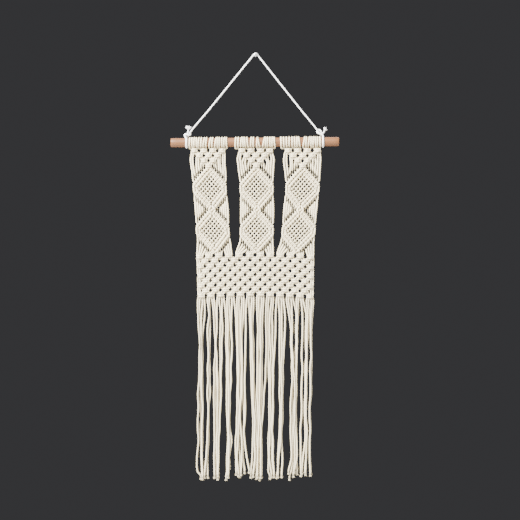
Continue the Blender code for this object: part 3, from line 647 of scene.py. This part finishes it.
class Panel:
    # strands are counted from the panel's middle line, and side and way are -1 or 1: left or
    # right of it, above or below a diamond's middle
    def __init__(self, name, first):
        self.table = panels[name]
        self.first = first

    def middle(self, drop):
        return float(np.interp(drop, panelDrops, self.table["middles"]))

    def pitch(self, drop):
        return float(np.interp(drop, panelDrops, self.table["pitches"]))

    def at(self, strand, drop):
        return self.middle(drop) + strand * self.pitch(drop)

    def lane(self, strand):
        return self.first + int(strand + strandCount / 2)

    def put(self, lane, strand, drop, out=0.0, radius=None):
        lay(lane, self.at(strand, drop), drop, out, radius)

    def lead(self, lane, drop, side, spots, crossing=True):
        # two cords that cross pass each other, one in front and one behind
        for strand, down, out, radius in spots:
            self.put(lane, side * strand, drop + down, side * out if crossing else out, radius)

    def larksHeads(self):
        # each folded cord: a bar behind the dowel, two turns over its front, two ends below
        reach = hanging["dowelRadius"] + wraps["gap"]
        for head, middle in enumerate(self.table["heads"]):
            for side, lean in zip((-1, 1), self.table["leans"][head]):
                lane = self.first + 2 * head + (side > 0)
                own = lean + chance.gauss(0, wraps["leans"])
                axis = dowelDrop(middle)
                for right, down, out in wraps["start"]:
                    lay(lane, middle + side * right, axis + down, out)
                for angle in wraps["angles"]:
                    turn = math.radians(angle)
                    high = math.sin(turn)
                    x = (middle + side * (wraps["apart"] - wraps["closer"] * high)
                         + own * (high + wraps["leanFoot"]))
                    lay(lane, x, axis - reach * high, reach * math.cos(turn),
                        netting["wrapped"])
                right, down, out = wraps["end"]
                lay(lane, middle + side * right, axis + down, out)

    def heading(self):
        for row in range(netting["rows"]):
            drop = netting["rowOne"] + row * netting["row"]
            outermost = 2 * (netting["rows"] - 1 - row)
            for strand in range(-outermost, outermost + 1, 4):
                four = [self.lane(strand + each) for each in (-1.5, -0.5, 0.5, 1.5)]
                leaving = (strand == -outermost, strand == outermost)
                squareKnot(four, self.at(strand, drop), drop, self.pitch(drop),
                           netting["row"] / 2, (row == 0, row == 0), leaving)

    def barSpot(self, diamondDrop, outer, side, cell, way):
        strand = side * (cell + (1.5 if outer else 0.5))
        rise = netting["outerBar" if outer else "innerBar"] - netting["cross"] * cell
        drop = diamondDrop + way * rise
        return self.at(strand, drop), drop

    def tie(self, lane, diamondDrop, outer, side, cell, way):
        x, drop = self.barSpot(diamondDrop, outer, side, cell, way)
        along = Vector((-way * side * self.pitch(drop), netting["cross"])).normalized()
        up = Vector((along.y, -along.x))
        if up.y > 0:
            up = -up
        hitch(lane, x, drop, along, up)

    def core(self, lane, diamondDrop, outer, side, way):
        for cell in coreCells["outer" if outer else "inner"][::-way]:
            x, drop = self.barSpot(diamondDrop, outer, side, cell, way)
            lay(lane, x, drop, 0.0, netting["core"])

    def narrow(self, lane, diamondDrop, side, cell, way, radius):
        x, middle = self.barSpot(diamondDrop, True, side, cell, way)
        start, end = neck["reaches"][way]
        spots = [neck["root"], (start, neck["thin"]), (end, neck["thin"]),
                 (end + neck["ease"], radius)]
        if cell < 2:
            spots = spots[:2]
        if cell > floatCount - 1:
            spots = list(zip((start, end), neck["outermost"]))
        for reach, thick in spots[::way]:
            drop = middle + way * (reach + chance.gauss(0, 0.15))
            lay(lane, self.at(side * (cell + 2.0), drop) + chance.gauss(0, 0.15), drop,
                neck["outs"][0 if thick < neck["deep"] else 1], thick)

    def diamondHalf(self, diamondDrop, side, way, floats, outerCore, innerCore, radius):
        for number, lane in enumerate(floats):
            cell = number + 0.5
            if way < 0:
                self.narrow(lane, diamondDrop, side, cell, way, radius)
            for outer in (True, False)[::-way]:
                self.tie(lane, diamondDrop, outer, side, cell, way)
            if way > 0:
                self.narrow(lane, diamondDrop, side, cell, way, radius)
        self.core(outerCore, diamondDrop, True, side, way)
        self.core(innerCore, diamondDrop, False, side, way)

    def weave(self, diamondDrop, left, right):
        # the strands from each side pass over and under each other to the other side
        for own, other, side in ((left, right, 1), (right, left, -1)):
            for number, lane in enumerate(own):
                for crossed in range(len(other)):
                    run = crossed + 0.5
                    strand = side * (run - number - 0.5)
                    drop = diamondDrop + netting["cross"] * (run - (floatCount - 0.5) + number)
                    over = side * (1 if (number + crossed) % 2 else -1)
                    self.put(lane, strand, drop, netting["weaveOut"] * over, netting["woven"])
        return right[::-1], left[::-1]

    def hang(self, lane, strand, start, end, count, radius=None, stray=0.0):
        for number in range(1, count + 1):
            share = number / (count + 1)
            drop = start + (end - start) * number / (count + 1)
            fade = min(1.0, straying["fade"] * (1 - share))
            x = (self.at(strand, drop) + straying["share"] * stray * fade
                 + chance.gauss(0, straying["across"]))
            lay(lane, x, drop, chance.gauss(0, straying["out"]), radius)

    def build(self):
        self.larksHeads()
        self.heading()
        sides, half = (-1, 1), netting["diamond"] / 2
        floats = {side: [self.lane(side * (2.5 + cell)) for cell in range(floatCount)]
                  for side in sides}
        for side in sides:
            for cell, lane in enumerate(floats[side]):
                row = netting["rows"] - 2 - cell // 2
                start = netting["rowOne"] + netting["underKnot"] + row * netting["row"]
                end = (netting["diamondTop"] + netting["cross"] * (cell + 0.5)
                       - netting["overBar"])
                self.hang(lane, side * (2.5 + cell), start, end, 1 + cell // 2,
                          netting["loose"], self.table["strays"][side][cell])
        outers = {-1: self.lane(0.5), 1: self.lane(-0.5)}
        inners = {-1: self.lane(1.5), 1: self.lane(-1.5)}
        top = netting["diamondTop"]
        for side in sides:
            self.lead(outers[side], top, side, spreadSpots["outer"])
            self.tie(inners[side], top + half, True, -side, -0.5, -1)
            self.lead(inners[side], top, side, spreadSpots["inner"])
        for number in range(2):
            middle = top + (number + 0.5) * netting["diamond"]
            for side in sides:
                self.diamondHalf(middle, side, -1, floats[side], outers[side], inners[side],
                                 netting["strand" if number else "loose"])
            floats[-1], floats[1] = self.weave(middle, floats[-1], floats[1])
            for side in sides:
                self.lead(outers[side], middle, side, cornerSpots["outer"])
                self.lead(inners[side], middle, side, cornerSpots["inner"])
            for side in sides:
                self.diamondHalf(middle, side, 1, floats[side], outers[side], inners[side],
                                 netting["loose" if number else "strand"])
            if number == 0:
                self.waist(middle + half, floats, outers, inners)
                outers = {-1: outers[1], 1: outers[-1]}
        self.gather(middle, outers, inners)
        self.ends = [*floats[-1][::-1], inners[1], outers[1], outers[-1], inners[-1], *floats[1]]

    def waist(self, drop, floats, outers, inners):
        # between the diamonds the outer cores cross, and the inner ones keep to their own side
        for side in (-1, 1):
            self.lead(outers[side], drop, side, waistSpots["outer"])
            self.lead(inners[side], drop, side, waistSpots["inner"], crossing=False)
        for side in (-1, 1):
            for cell, lane in enumerate(floats[side]):
                slant = netting["cross"] * (cell + 0.5)
                start = drop - slant + netting["underBar"]
                end = drop + slant - netting["overBar"]
                self.hang(lane, side * (2.5 + cell), start, end, cell // 2)

    def gather(self, middle, outers, inners):
        # below the last diamond all four cores cross once more
        for side in (-1, 1):
            self.lead(inners[side], middle, side, gatherSpots["inner"])
            self.tie(inners[side], middle, True, -side, -0.5, 1)
            self.lead(outers[side], middle, side, gatherSpots["outer"])


band = {
    "top": 202.5,
    "row": 8.65,
    "rows": 9,
    "pitches": (4.45, 4.41),    # strand to strand at the top row and the last one
    "x": 0.4,
    "half": 105.0,              # half its width, for how far it sags and slants
    "sag": 4.0,
    "slant": 0.5,
    "lift": 1.3,
    "edge": 106,                # its knots are drawn to the left, but not at the edges
    "edgeEase": 20,
    "drawn": 0.9,
    "drawnLeft": 3.0,           # how much more at the left of the top row
    "drawnEase": 35,
}


def bandPitch(row):
    first, last = band["pitches"]
    return first + row / (band["rows"] - 1) * (last - first)


def bandSag(x):
    # the band hangs a little lower towards its ends, most of all at the right
    return (band["sag"] * (x / band["half"]) ** 2 + band["slant"] * x / band["half"]
            - band["lift"])


def bandShift(x, row):
    inner = min(1.0, (band["edge"] - abs(x)) / band["edgeEase"])
    left = min(1.0, max(0.0, -x / band["drawnEase"]))
    return -inner * (band["drawn"] + band["drawnLeft"] * left * 0.5 ** row)


def knotBand(order):
    # square knots of four cords, each row two cords to the side of the one above it
    for row in range(band["rows"]):
        for start in range(2 * (row % 2), laneCount - 3, 4):
            strand = start + 2 - laneCount / 2
            x = band["x"] + strand * bandPitch(row)
            x += bandShift(x, row)
            drop = band["top"] + row * band["row"] + bandSag(x)
            first, last = start == 0, start == laneCount - 4
            lowest = row == band["rows"] - 1
            squareKnot(order[start:start + 4], x, drop, bandPitch(row), band["row"] / 2,
                       (first or row == 0, last or row == 0),
                       (first or lowest, last or lowest))


def weaveCloth():
    # returns the lanes from left to right below the band
    order = []
    for number, name in enumerate(panels):
        panel = Panel(name, number * strandCount)
        panel.build()
        order += panel.ends
    knotBand(order)
    # every cord has to be there before a mesh is built, for the painted shade in the crevices
    # between panels
    parts = {}
    for number, name in enumerate(panels):
        parts[name] = CordMesh()
        for lane in lanes[number * strandCount:(number + 1) * strandCount]:
            parts[name].add(lane)
    for name, cords in parts.items():
        cords.build(name + "Panel", creamCotton, "cream_cotton", "netting")
    return order


bandOrder = weaveCloth()


# The fringe

fringe = {
    "strand": 1.52,
    "strands": (0.94, 1.04),    # share of that which an end's radius has
    "apart": 3.4,               # least distance between the middles of two ends
    "layer": 1.2,               # neighbours start this far in front of the plane or behind it
    "neighbours": 4,            # how many ends on its right an end is kept apart from
    "rounds": 80,
    "push": 0.25,               # share of what is lacking that each of a pair moves in a round
    "settle": 0.995,            # and ends fall back towards the plane by the rest of this
    "wave": 24.0,               # from one small bend to the next
    "waveX": 0.7,
    "waveOut": 0.2,
    "levels": (306, 360, 424, 495, 531, 563, 588),
    "levelToTip": 5.0,          # a level nearer to the tip than this is left out
    "parting": 0.9,             # each knot's two pairs part by twice this below the band
    "partingDrop": 5.0,
    "rootLap": 1.2,             # how far an end laps over the band's cord that it continues
    "tones": (0.05, 0.7),
    "tipLength": 8.0,
    "tipStrand": 1.3,           # radius just before the tip
    "tipWide": 1.1,
}

fray = {
    "fibres": 28,
    "turn": 2.4,                # radians from one fibre to the next, which fills the end evenly
    "radius": 1.4,
    "spread": (1.35, 1.9),
    "reach": (0.7, 1.1),
}

# Where each end hangs, from left to right: its x at each level, then its tip's x and drop.
# Other programs measured and wrote these numbers, so they aren't a pattern to follow.
fringeCords = (
    ((-102.5, -99, -100.5, -103, -101.5, -104.5, -103), -97.5, 602),
    ((-100, -98, -98, -97.5, -98, -97, -95.5), -96, 603),
    ((-96.5, -96.5, -96.5, -95, -96, -95.5, -94.5), -94.5, 602),
    ((-90.5, -95.5, -95, -95, -95, -96, -95), -95.5, 599),
    ((-82.5, -84.5, -84.5, -84.5, -86, -88, -91), -91, 600),
    ((-81.5, -82, -82, -84, -84, -86, -87), -85.5, 600),
    ((-74.5, -71.5, -73.5, -73.5, -73, -74, -72.5), -73, 600),
    ((-71.5, -71, -70, -72, -70, -72.5, -70), -69.5, 599),
    ((-69, -71, -67.5, -68.5, -69.5, -68.5, -67.5), -67.5, 603),
    ((-62, -63.5, -64.5, -65.5, -66, -67, -66), -66.5, 600),
    ((-60, -60.5, -62, -64, -66, -66, -67), -67, 597),
    ((-53, -52.5, -51, -50.5, -49, -51, -51), -52.5, 604),
    ((-50, -50, -48.5, -48, -47, -48, -49.5), -48.5, 599),
    ((-46, -47.5, -45.5, -47, -46.5, -47.5, -47), -47, 584),
    ((-43, -42, -43.5, -47, -43, -47.5, -46.5), -46.5, 579),
    ((-35.5, -33, -31.5, -33.5, -35.5, -35, -32.5), -34.5, 595),
    ((-32.5, -31.5, -30.5, -30, -31, -33, -30.5), -30.5, 597),
    ((-29, -28.5, -27, -28, -30.5, -27.5, -26), -28.5, 599),
    ((-25.5, -25, -24.5, -27.5, -24.5, -24.5, -26), -26, 595),
    ((-21.5, -25, -24, -20.5, -22, -22.5, -19), -19.5, 592),
    ((-17.5, -18, -19.5, -19, -19.5, -15.5, -12), -11.5, 591),
    ((-10.5, -8.5, -7.5, -4.5, -5, -6, -6.5), -8.5, 600),
    ((-8, -6, -4.5, -1, -2, -1, -4.5), -4, 598),
    ((-4.5, -3.5, -3.5, 1.5, 1.5, -0.5, 2), 1.5, 602),
    ((3, 3.5, 3, 5, 4.5, 3.5, 5.5), 3.5, 600),
    ((6, 6.5, 6, 5, 7.5, 6.5, 7.5), 7, 605),
    ((9.5, 9.5, 8.5, 8, 9.5, 9.5, 9.5), 9.5, 600),
    ((12.5, 12, 11, 9.5, 8.5, 10, 8.5), 9, 599),
    ((18.5, 19.5, 17.5, 12, 10.5, 11, 10.5), 11, 599),
    ((22, 22.5, 24, 24.5, 22.5, 23.5, 23), 25.5, 602),
    ((26, 26, 26.5, 28, 25.5, 24.5, 27), 28.5, 599),
    ((29.5, 30, 29.5, 30.5, 29.5, 29, 30.5), 30.5, 597),
    ((36, 34.5, 31.5, 30.5, 31, 31, 30.5), 33, 599),
    ((43, 43, 43.5, 43.5, 42, 40, 39.5), 37.5, 601),
    ((46.5, 47, 46.5, 46, 45, 41, 40), 40, 599),
    ((52.5, 51, 49, 48, 46, 48, 48), 46.5, 599),
    ((59.5, 63, 65.5, 63, 63, 64, 60), 59, 593),
    ((62.5, 64, 66, 66.5, 66, 66.5, 63), 60.5, 604),
    ((65, 64.5, 69.5, 69.5, 69.5, 70, 66.5), 67.5, 598),
    ((72.5, 72.5, 71, 71.5, 72, 72.5, 74), 74, 594),
    ((74.5, 74, 72.5, 72, 73, 73.5, 69.5), 69.5, 590),
    ((76, 74, 72.5, 72.5, 73.5, 72, 74), 74, 584),
    ((83.5, 83, 82.5, 81.5, 80.5, 80.5, 82), 81, 597),
    ((90, 89.5, 89, 88, 88.5, 84.5, 83), 82.5, 593),
    ((93, 91.5, 90.5, 90, 91, 90, 89.5), 89, 595),
    ((96, 92, 90.5, 89.5, 89.5, 90, 88.5), 88, 591),
    ((99, 98.5, 98, 96.5, 96.5, 96.5, 96.5), 97.5, 596),
    ((101.5, 99.5, 99, 97.5, 97, 97, 97.5), 98.5, 593),
)


def layeredOuts():
    # how far out each end hangs at each level, so that ends that cross pass each other
    outs = np.array([(1, -1)[number % 2] * fringe["layer"]
                     for number in range(len(fringeCords))])
    found = []
    for level in range(len(fringe["levels"])):
        x = np.array([xs[level] for xs, tipX, tipDrop in fringeCords])
        for _ in range(fringe["rounds"]):
            shift = np.zeros(len(x))
            for one in range(len(x)):
                for other in range(one + 1, min(one + 1 + fringe["neighbours"], len(x))):
                    gap = abs(x[other] - x[one])
                    if gap < fringe["apart"]:
                        wanted = math.sqrt(fringe["apart"] ** 2 - gap ** 2)
                        lacking = wanted - abs(outs[other] - outs[one])
                        if lacking > 0:
                            way = 1 if outs[other] > outs[one] else -1
                            shift[other] += way * fringe["push"] * lacking
                            shift[one] -= way * fringe["push"] * lacking
            outs = (outs + shift) * fringe["settle"]
        found.append(outs.copy())
    return found


def frayedTip(cords, spot, ahead, reach, tone, wide):
    # a cut end opens into its yarns; spot and ahead are to the right, down and out
    ahead = Vector(ahead).normalized()
    side = ahead.orthogonal().normalized()
    front = ahead.cross(side)
    for number in range(fray["fibres"]):
        angle = fray["turn"] * number + chance.gauss(0, 0.2)
        start = fray["radius"] * math.sqrt((number + 0.5) / fray["fibres"])
        spread = start * wide * chance.uniform(*fray["spread"])
        length = reach * chance.uniform(*fray["reach"])
        away = math.cos(angle) * side + math.sin(angle) * front
        rows = ((-0.4, start * 0.75, 0.4), (0.1, start, 0.48),
                (0.6, (start + spread) / 2, 0.46), (1.0, spread, 0.34))
        points = [(*(Vector(spot) + length * share * ahead + radius * away), thick)
                  for share, radius, thick in rows]
        cords.add(points, sides=4, step=4.0, most=1, tone=tone)


def fringeEnd(lane, radius, outs):
    # one end's points, from its root in the band to the start of its tip
    xs, tipX, tipDrop = fringeCords[lane]
    rootX, rootDrop, rootOut, rootRadius = lanes[bandOrder[lane]][-1]
    parting = fringe["parting"] if lane % 4 > 1 else -fringe["parting"]
    points = [(rootX, rootDrop - fringe["rootLap"], rootOut, rootRadius - 0.05),
              (rootX, rootDrop, rootOut, rootRadius + 0.04),
              (rootX + parting, rootDrop + fringe["partingDrop"], 0.7 * rootOut, radius)]
    start, ended = points[-1], tipDrop - fringe["tipLength"]
    for x, drop, out in zip(xs, fringe["levels"], outs):
        if drop > ended - fringe["levelToTip"]:
            break
        spot = (x, drop, out[lane], radius)
        count = round((drop - start[1]) / fringe["wave"])
        for number in range(1, count):
            share = number / count
            wavy = [one + (other - one) * share for one, other in zip(start, spot)]
            wavy[0] += chance.gauss(0, fringe["waveX"])
            wavy[2] += chance.gauss(0, fringe["waveOut"])
            points.append(tuple(wavy))
        points.append(spot)
        start = spot
    points.append((tipX, ended, start[2], radius))
    points.append((tipX, tipDrop - fringe["tipLength"] / 2, start[2], fringe["tipStrand"]))
    return points


def hangFringe():
    cords = CordMesh()
    outs = layeredOuts()
    for lane in range(len(fringeCords)):
        tone = chance.uniform(*fringe["tones"])
        radius = fringe["strand"] * chance.uniform(*fringe["strands"])
        points = fringeEnd(lane, radius, outs)
        # the end belongs to the cord above it, so their join gets no painted shade
        cords.add(points, sides=10, step=5.0, most=12, tone=tone, owner=bandOrder[lane])
        frayedTip(cords, points[-1][:3], (0.0, 1.0, 0.0), fringe["tipLength"] * 0.5, tone,
                  fringe["tipWide"])
    cords.build("fringeEnds", creamCotton, "cream_cotton", "fringe")


hangFringe()


# The dowel

dowel = {"length": 300.0, "sides": 64, "bevel": 1.2, "unevenness": 0.05, "turnings": 0.11}


def turnDowel():
    sides, half, radius = dowel["sides"], dowel["length"] / 2, hanging["dowelRadius"]
    bevel = dowel["bevel"]
    end = [(-half, 0.0), (-half, radius - bevel), (-half + 0.16 * bevel, radius - 0.5 * bevel),
           (-half + 0.5 * bevel, radius - 0.16 * bevel), (-half + bevel, radius)]
    profile = [*end, *((x, radius + dowel["unevenness"] * math.sin(dowel["turnings"] * x))
                       for x in range(-140, 141, 20)), *((-x, r) for x, r in reversed(end))]
    tilt = Matrix.Rotation(-math.radians(hanging["dowelTilt"]), 4, "Y")
    middle = Vector((hanging["dowelX"], hanging["planeY"], hanging["dowelZ"]))
    vertices = []
    for x, r in profile:
        for side in range(sides):
            angle = 2 * math.pi * side / sides
            spot = Vector((x, r * math.cos(angle), r * math.sin(angle)))
            vertices.append((tilt @ spot + middle) * mm)
    mesh = turnedMesh("woodenDowel", vertices, sides, beechWood)
    addPiece("woodenDowel", mesh, "dowel")


turnDowel()


# The nail and the hanger

nail = {
    "radius": 1.2,
    "headRadius": 2.9,
    "headThick": 1.0,
    "length": 20.0,
    "sides": 40,
    "edge": 0.2,                # the bevel at the back of the head's rim
    "crown": ((0.45, 0.0), (0.2, 0.25), (0.06, 0.9)),   # back from its front, in from its rim
}


def driveNail():
    sides, wide = nail["sides"], nail["headRadius"]
    back = nail["length"] - nail["headThick"]
    profile = [(0.0, 0.0), (0.0, nail["radius"]), (back, nail["radius"]),
               (back, wide - nail["edge"]), (back + nail["edge"], wide),
               *((nail["length"] - down, wide - inward) for down, inward in nail["crown"]),
               (nail["length"], 0.0)]
    vertices = [(radius * math.cos(2 * math.pi * side / sides) * mm, -y * mm,
                 radius * math.sin(2 * math.pi * side / sides) * mm)
                for y, radius in profile for side in range(sides)]
    mesh = turnedMesh("wallNail", vertices, sides, nailSteel)
    mesh.set_sharp_from_angle(angle=math.radians(35))
    addPiece("wallNail", mesh, "nail")


driveNail()

hanger = {
    "radius": 1.4,
    "bend": 2.75,               # from the nail's middle to the cord's, over the nail
    "bendSteps": 8,
    "knotted": 1.55,
    "looped": 1.8,              # its radius where it passes round the dowel
    "loopGap": 0.4,             # from the dowel to the cord's middle line there
    "loopStray": 1.4,           # the loop's last part behind the dowel leads outwards
    "tuftTone": 0.8,
    "tuftWide": 1.3,
}

# Each tie, as (x, rise over the dowel's middle, out): the free end, the knot from there down to
# the dowel, the x at which the cord passes round it, and where the straight leg starts. The
# tufts are the ways in which the end frays, with their reach.
ties = {
    "left": {
        "tufts": ((-0.62, 1.0, 6.2), (0.72, 0.8, 5.6)),
        "end": ((-119.8, 24.2, 0.6), (-120.2, 21.0, 0.8), (-120.8, 17.6, 1.6)),
        "knot": ((-121.6, 14.8, 2.2), (-123.0, 12.8, 1.2), (-122.6, 13.2, -1.6),
                 (-120.2, 15.4, -2.9), (-117.4, 16.0, -2.0), (-116.2, 14.8, 0.6),
                 (-117.6, 13.4, 3.2), (-121.0, 14.0, 4.4), (-124.4, 15.2, 3.4),
                 (-126.4, 13.8, 2.2), (-125.6, 11.2, 3.2)),
        "loop": -123.0,
        "leg": (-119.8, 13.4),
    },
    "right": {
        "tufts": ((0.15, 1.0, 5.4), (0.75, 0.7, 4.6)),
        "end": ((123.2, 19.8, 0.8), (121.7, 17.0, 1.2), (119.8, 14.8, 1.6)),
        "knot": ((118.2, 15.6, 1.0), (116.6, 18.2, 1.6), (114.6, 20.6, 0.6),
                 (112.0, 21.4, -1.8), (109.9, 19.2, -1.8), (110.4, 16.4, 1.6),
                 (113.4, 14.6, 3.6), (117.6, 12.8, 4.0), (119.8, 10.9, 3.8)),
        "loop": 120.2,
        "leg": (116.2, 12.4),
    },
}


def tieRoute(tie, side):
    # from the free end through the knot, down the dowel's front, under it and up behind it
    reach = hanging["dowelRadius"] + hanger["loopGap"]
    route = [(x, rise, out, hanger["radius"]) for x, rise, out in tie["end"]]
    route += [(x, rise, out, hanger["knotted"]) for x, rise, out in tie["knot"]]
    for angle in range(50, -231, -20):
        turn = math.radians(angle)
        x = tie["loop"] - side * hanger["loopStray"] * max(0.0, -130 - angle) / 100
        route.append((x, reach * math.sin(turn), reach * math.cos(turn), hanger["looped"]))
    return [(x, dowelDrop(x) - rise, out, radius) for x, rise, out, radius in route]


def topRoute():
    # both straight legs and the bend over the nail between them
    pin = np.array((0.0, hanging["dowelZ"]))
    feet, angles = [], []
    for side, tie in zip((-1, 1), ties.values()):
        x, rise = tie["leg"]
        foot = np.array((x, dowelDrop(x) - rise))
        away = foot - pin
        # the straight leg touches the bend over the nail at this angle from its own direction
        lean = math.acos(hanger["bend"] / np.linalg.norm(away))
        feet.append(foot)
        angles.append(math.atan2(away[1], away[0]) - side * lean)
    start, end = angles[0], angles[1] + (0 if angles[1] > angles[0] else 2 * math.pi)
    bend = []
    for number in range(hanger["bendSteps"] + 1):
        angle = start + (end - start) * number / hanger["bendSteps"]
        bend.append(pin + hanger["bend"] * np.array((math.cos(angle), math.sin(angle))))
    left = [feet[0] + (bend[0] - feet[0]) * share for share in (0, 0.33, 0.66)]
    right = [feet[1] + (bend[-1] - feet[1]) * share for share in (0.66, 0.33, 0)]
    return [(x, drop, 0.0, hanger["radius"]) for x, drop in (*left, *bend, *right)]


def hangHanger():
    routes = [tieRoute(tie, side) for side, tie in zip((-1, 1), ties.values())]
    cords = CordMesh()
    middles = cords.add([*routes[0], *topRoute(), *routes[1][::-1]], most=40)
    cord = cords.build("hangingCord", whiteCotton, "white_cotton", "hanger")
    frayed = CordMesh()
    for route, tie in zip(routes, ties.values()):
        for across, up, reach in tie["tufts"]:
            frayedTip(frayed, route[0][:3], (across, -up, 0.1), reach, hanger["tuftTone"],
                      hanger["tuftWide"])
    tufts = frayed.build("cordTufts", whiteCotton, "white_cotton", "hanger")


hangHanger()


# Camera, light and floor

stage = {
    "sensor": 36.0,
    "lens": 85.4,
    "viewer": (0.00784, -2.216, -0.3655),
    "aim": (0.0, 0.0, -0.4),
    "lamps": {                  # size, power and place
        "mainLight": (0.6, 700.0, (-1.6, -1.6, 1.4)),
        "fillLight": (2.4, 24.0, (1.3, -2.6, 0.0)),
        "backLight": (2.2, 60.0, (0.4, 2.2, 1.2)),
    },
    "surround": (0.04, 0.04, 0.043, 1.0),
    "floor": ((-1.6, -1.9, -0.95), (1.6, -1.9, -0.95), (1.6, 0.5, -0.95), (-1.6, 0.5, -0.95)),
}


def setStage():
    camera = bpy.data.cameras.new("camera")
    camera.sensor_width = stage["sensor"]
    camera.lens = stage["lens"]
    viewer = addToScene("camera", camera)
    viewer.location = stage["viewer"]
    viewer.rotation_euler = (math.radians(90.0), 0.0, 0.0)
    bpy.context.scene.camera = viewer
    for name, (size, energy, spot) in stage["lamps"].items():
        lamp = bpy.data.lights.new(name, "AREA")
        lamp.size = size
        lamp.energy = energy
        source = addToScene(name, lamp)
        source.location = spot
        ahead = Vector(stage["aim"]) - Vector(spot)
        source.rotation_euler = ahead.to_track_quat("-Z", "Y").to_euler()
    world = bpy.data.worlds.new("studio")
    world.use_nodes = True
    background = world.node_tree.nodes["Background"]
    background.inputs["Color"].default_value = stage["surround"]
    background.inputs["Strength"].default_value = 1.0
    bpy.context.scene.world = world
    floorMesh = bpy.data.meshes.new("floor")
    floorMesh.from_pydata(stage["floor"], [], [(0, 1, 2, 3)])
    look = Look("palePlaster", 0.85)
    speckle = look.noise(look.position(), 60.0, 4.0)
    look.set("Base Color", look.mix(speckle, (0.66, 0.65, 0.63), (0.72, 0.71, 0.69)))
    floorMesh.materials.append(look.material)
    addToScene("floor", floorMesh)


setStage()
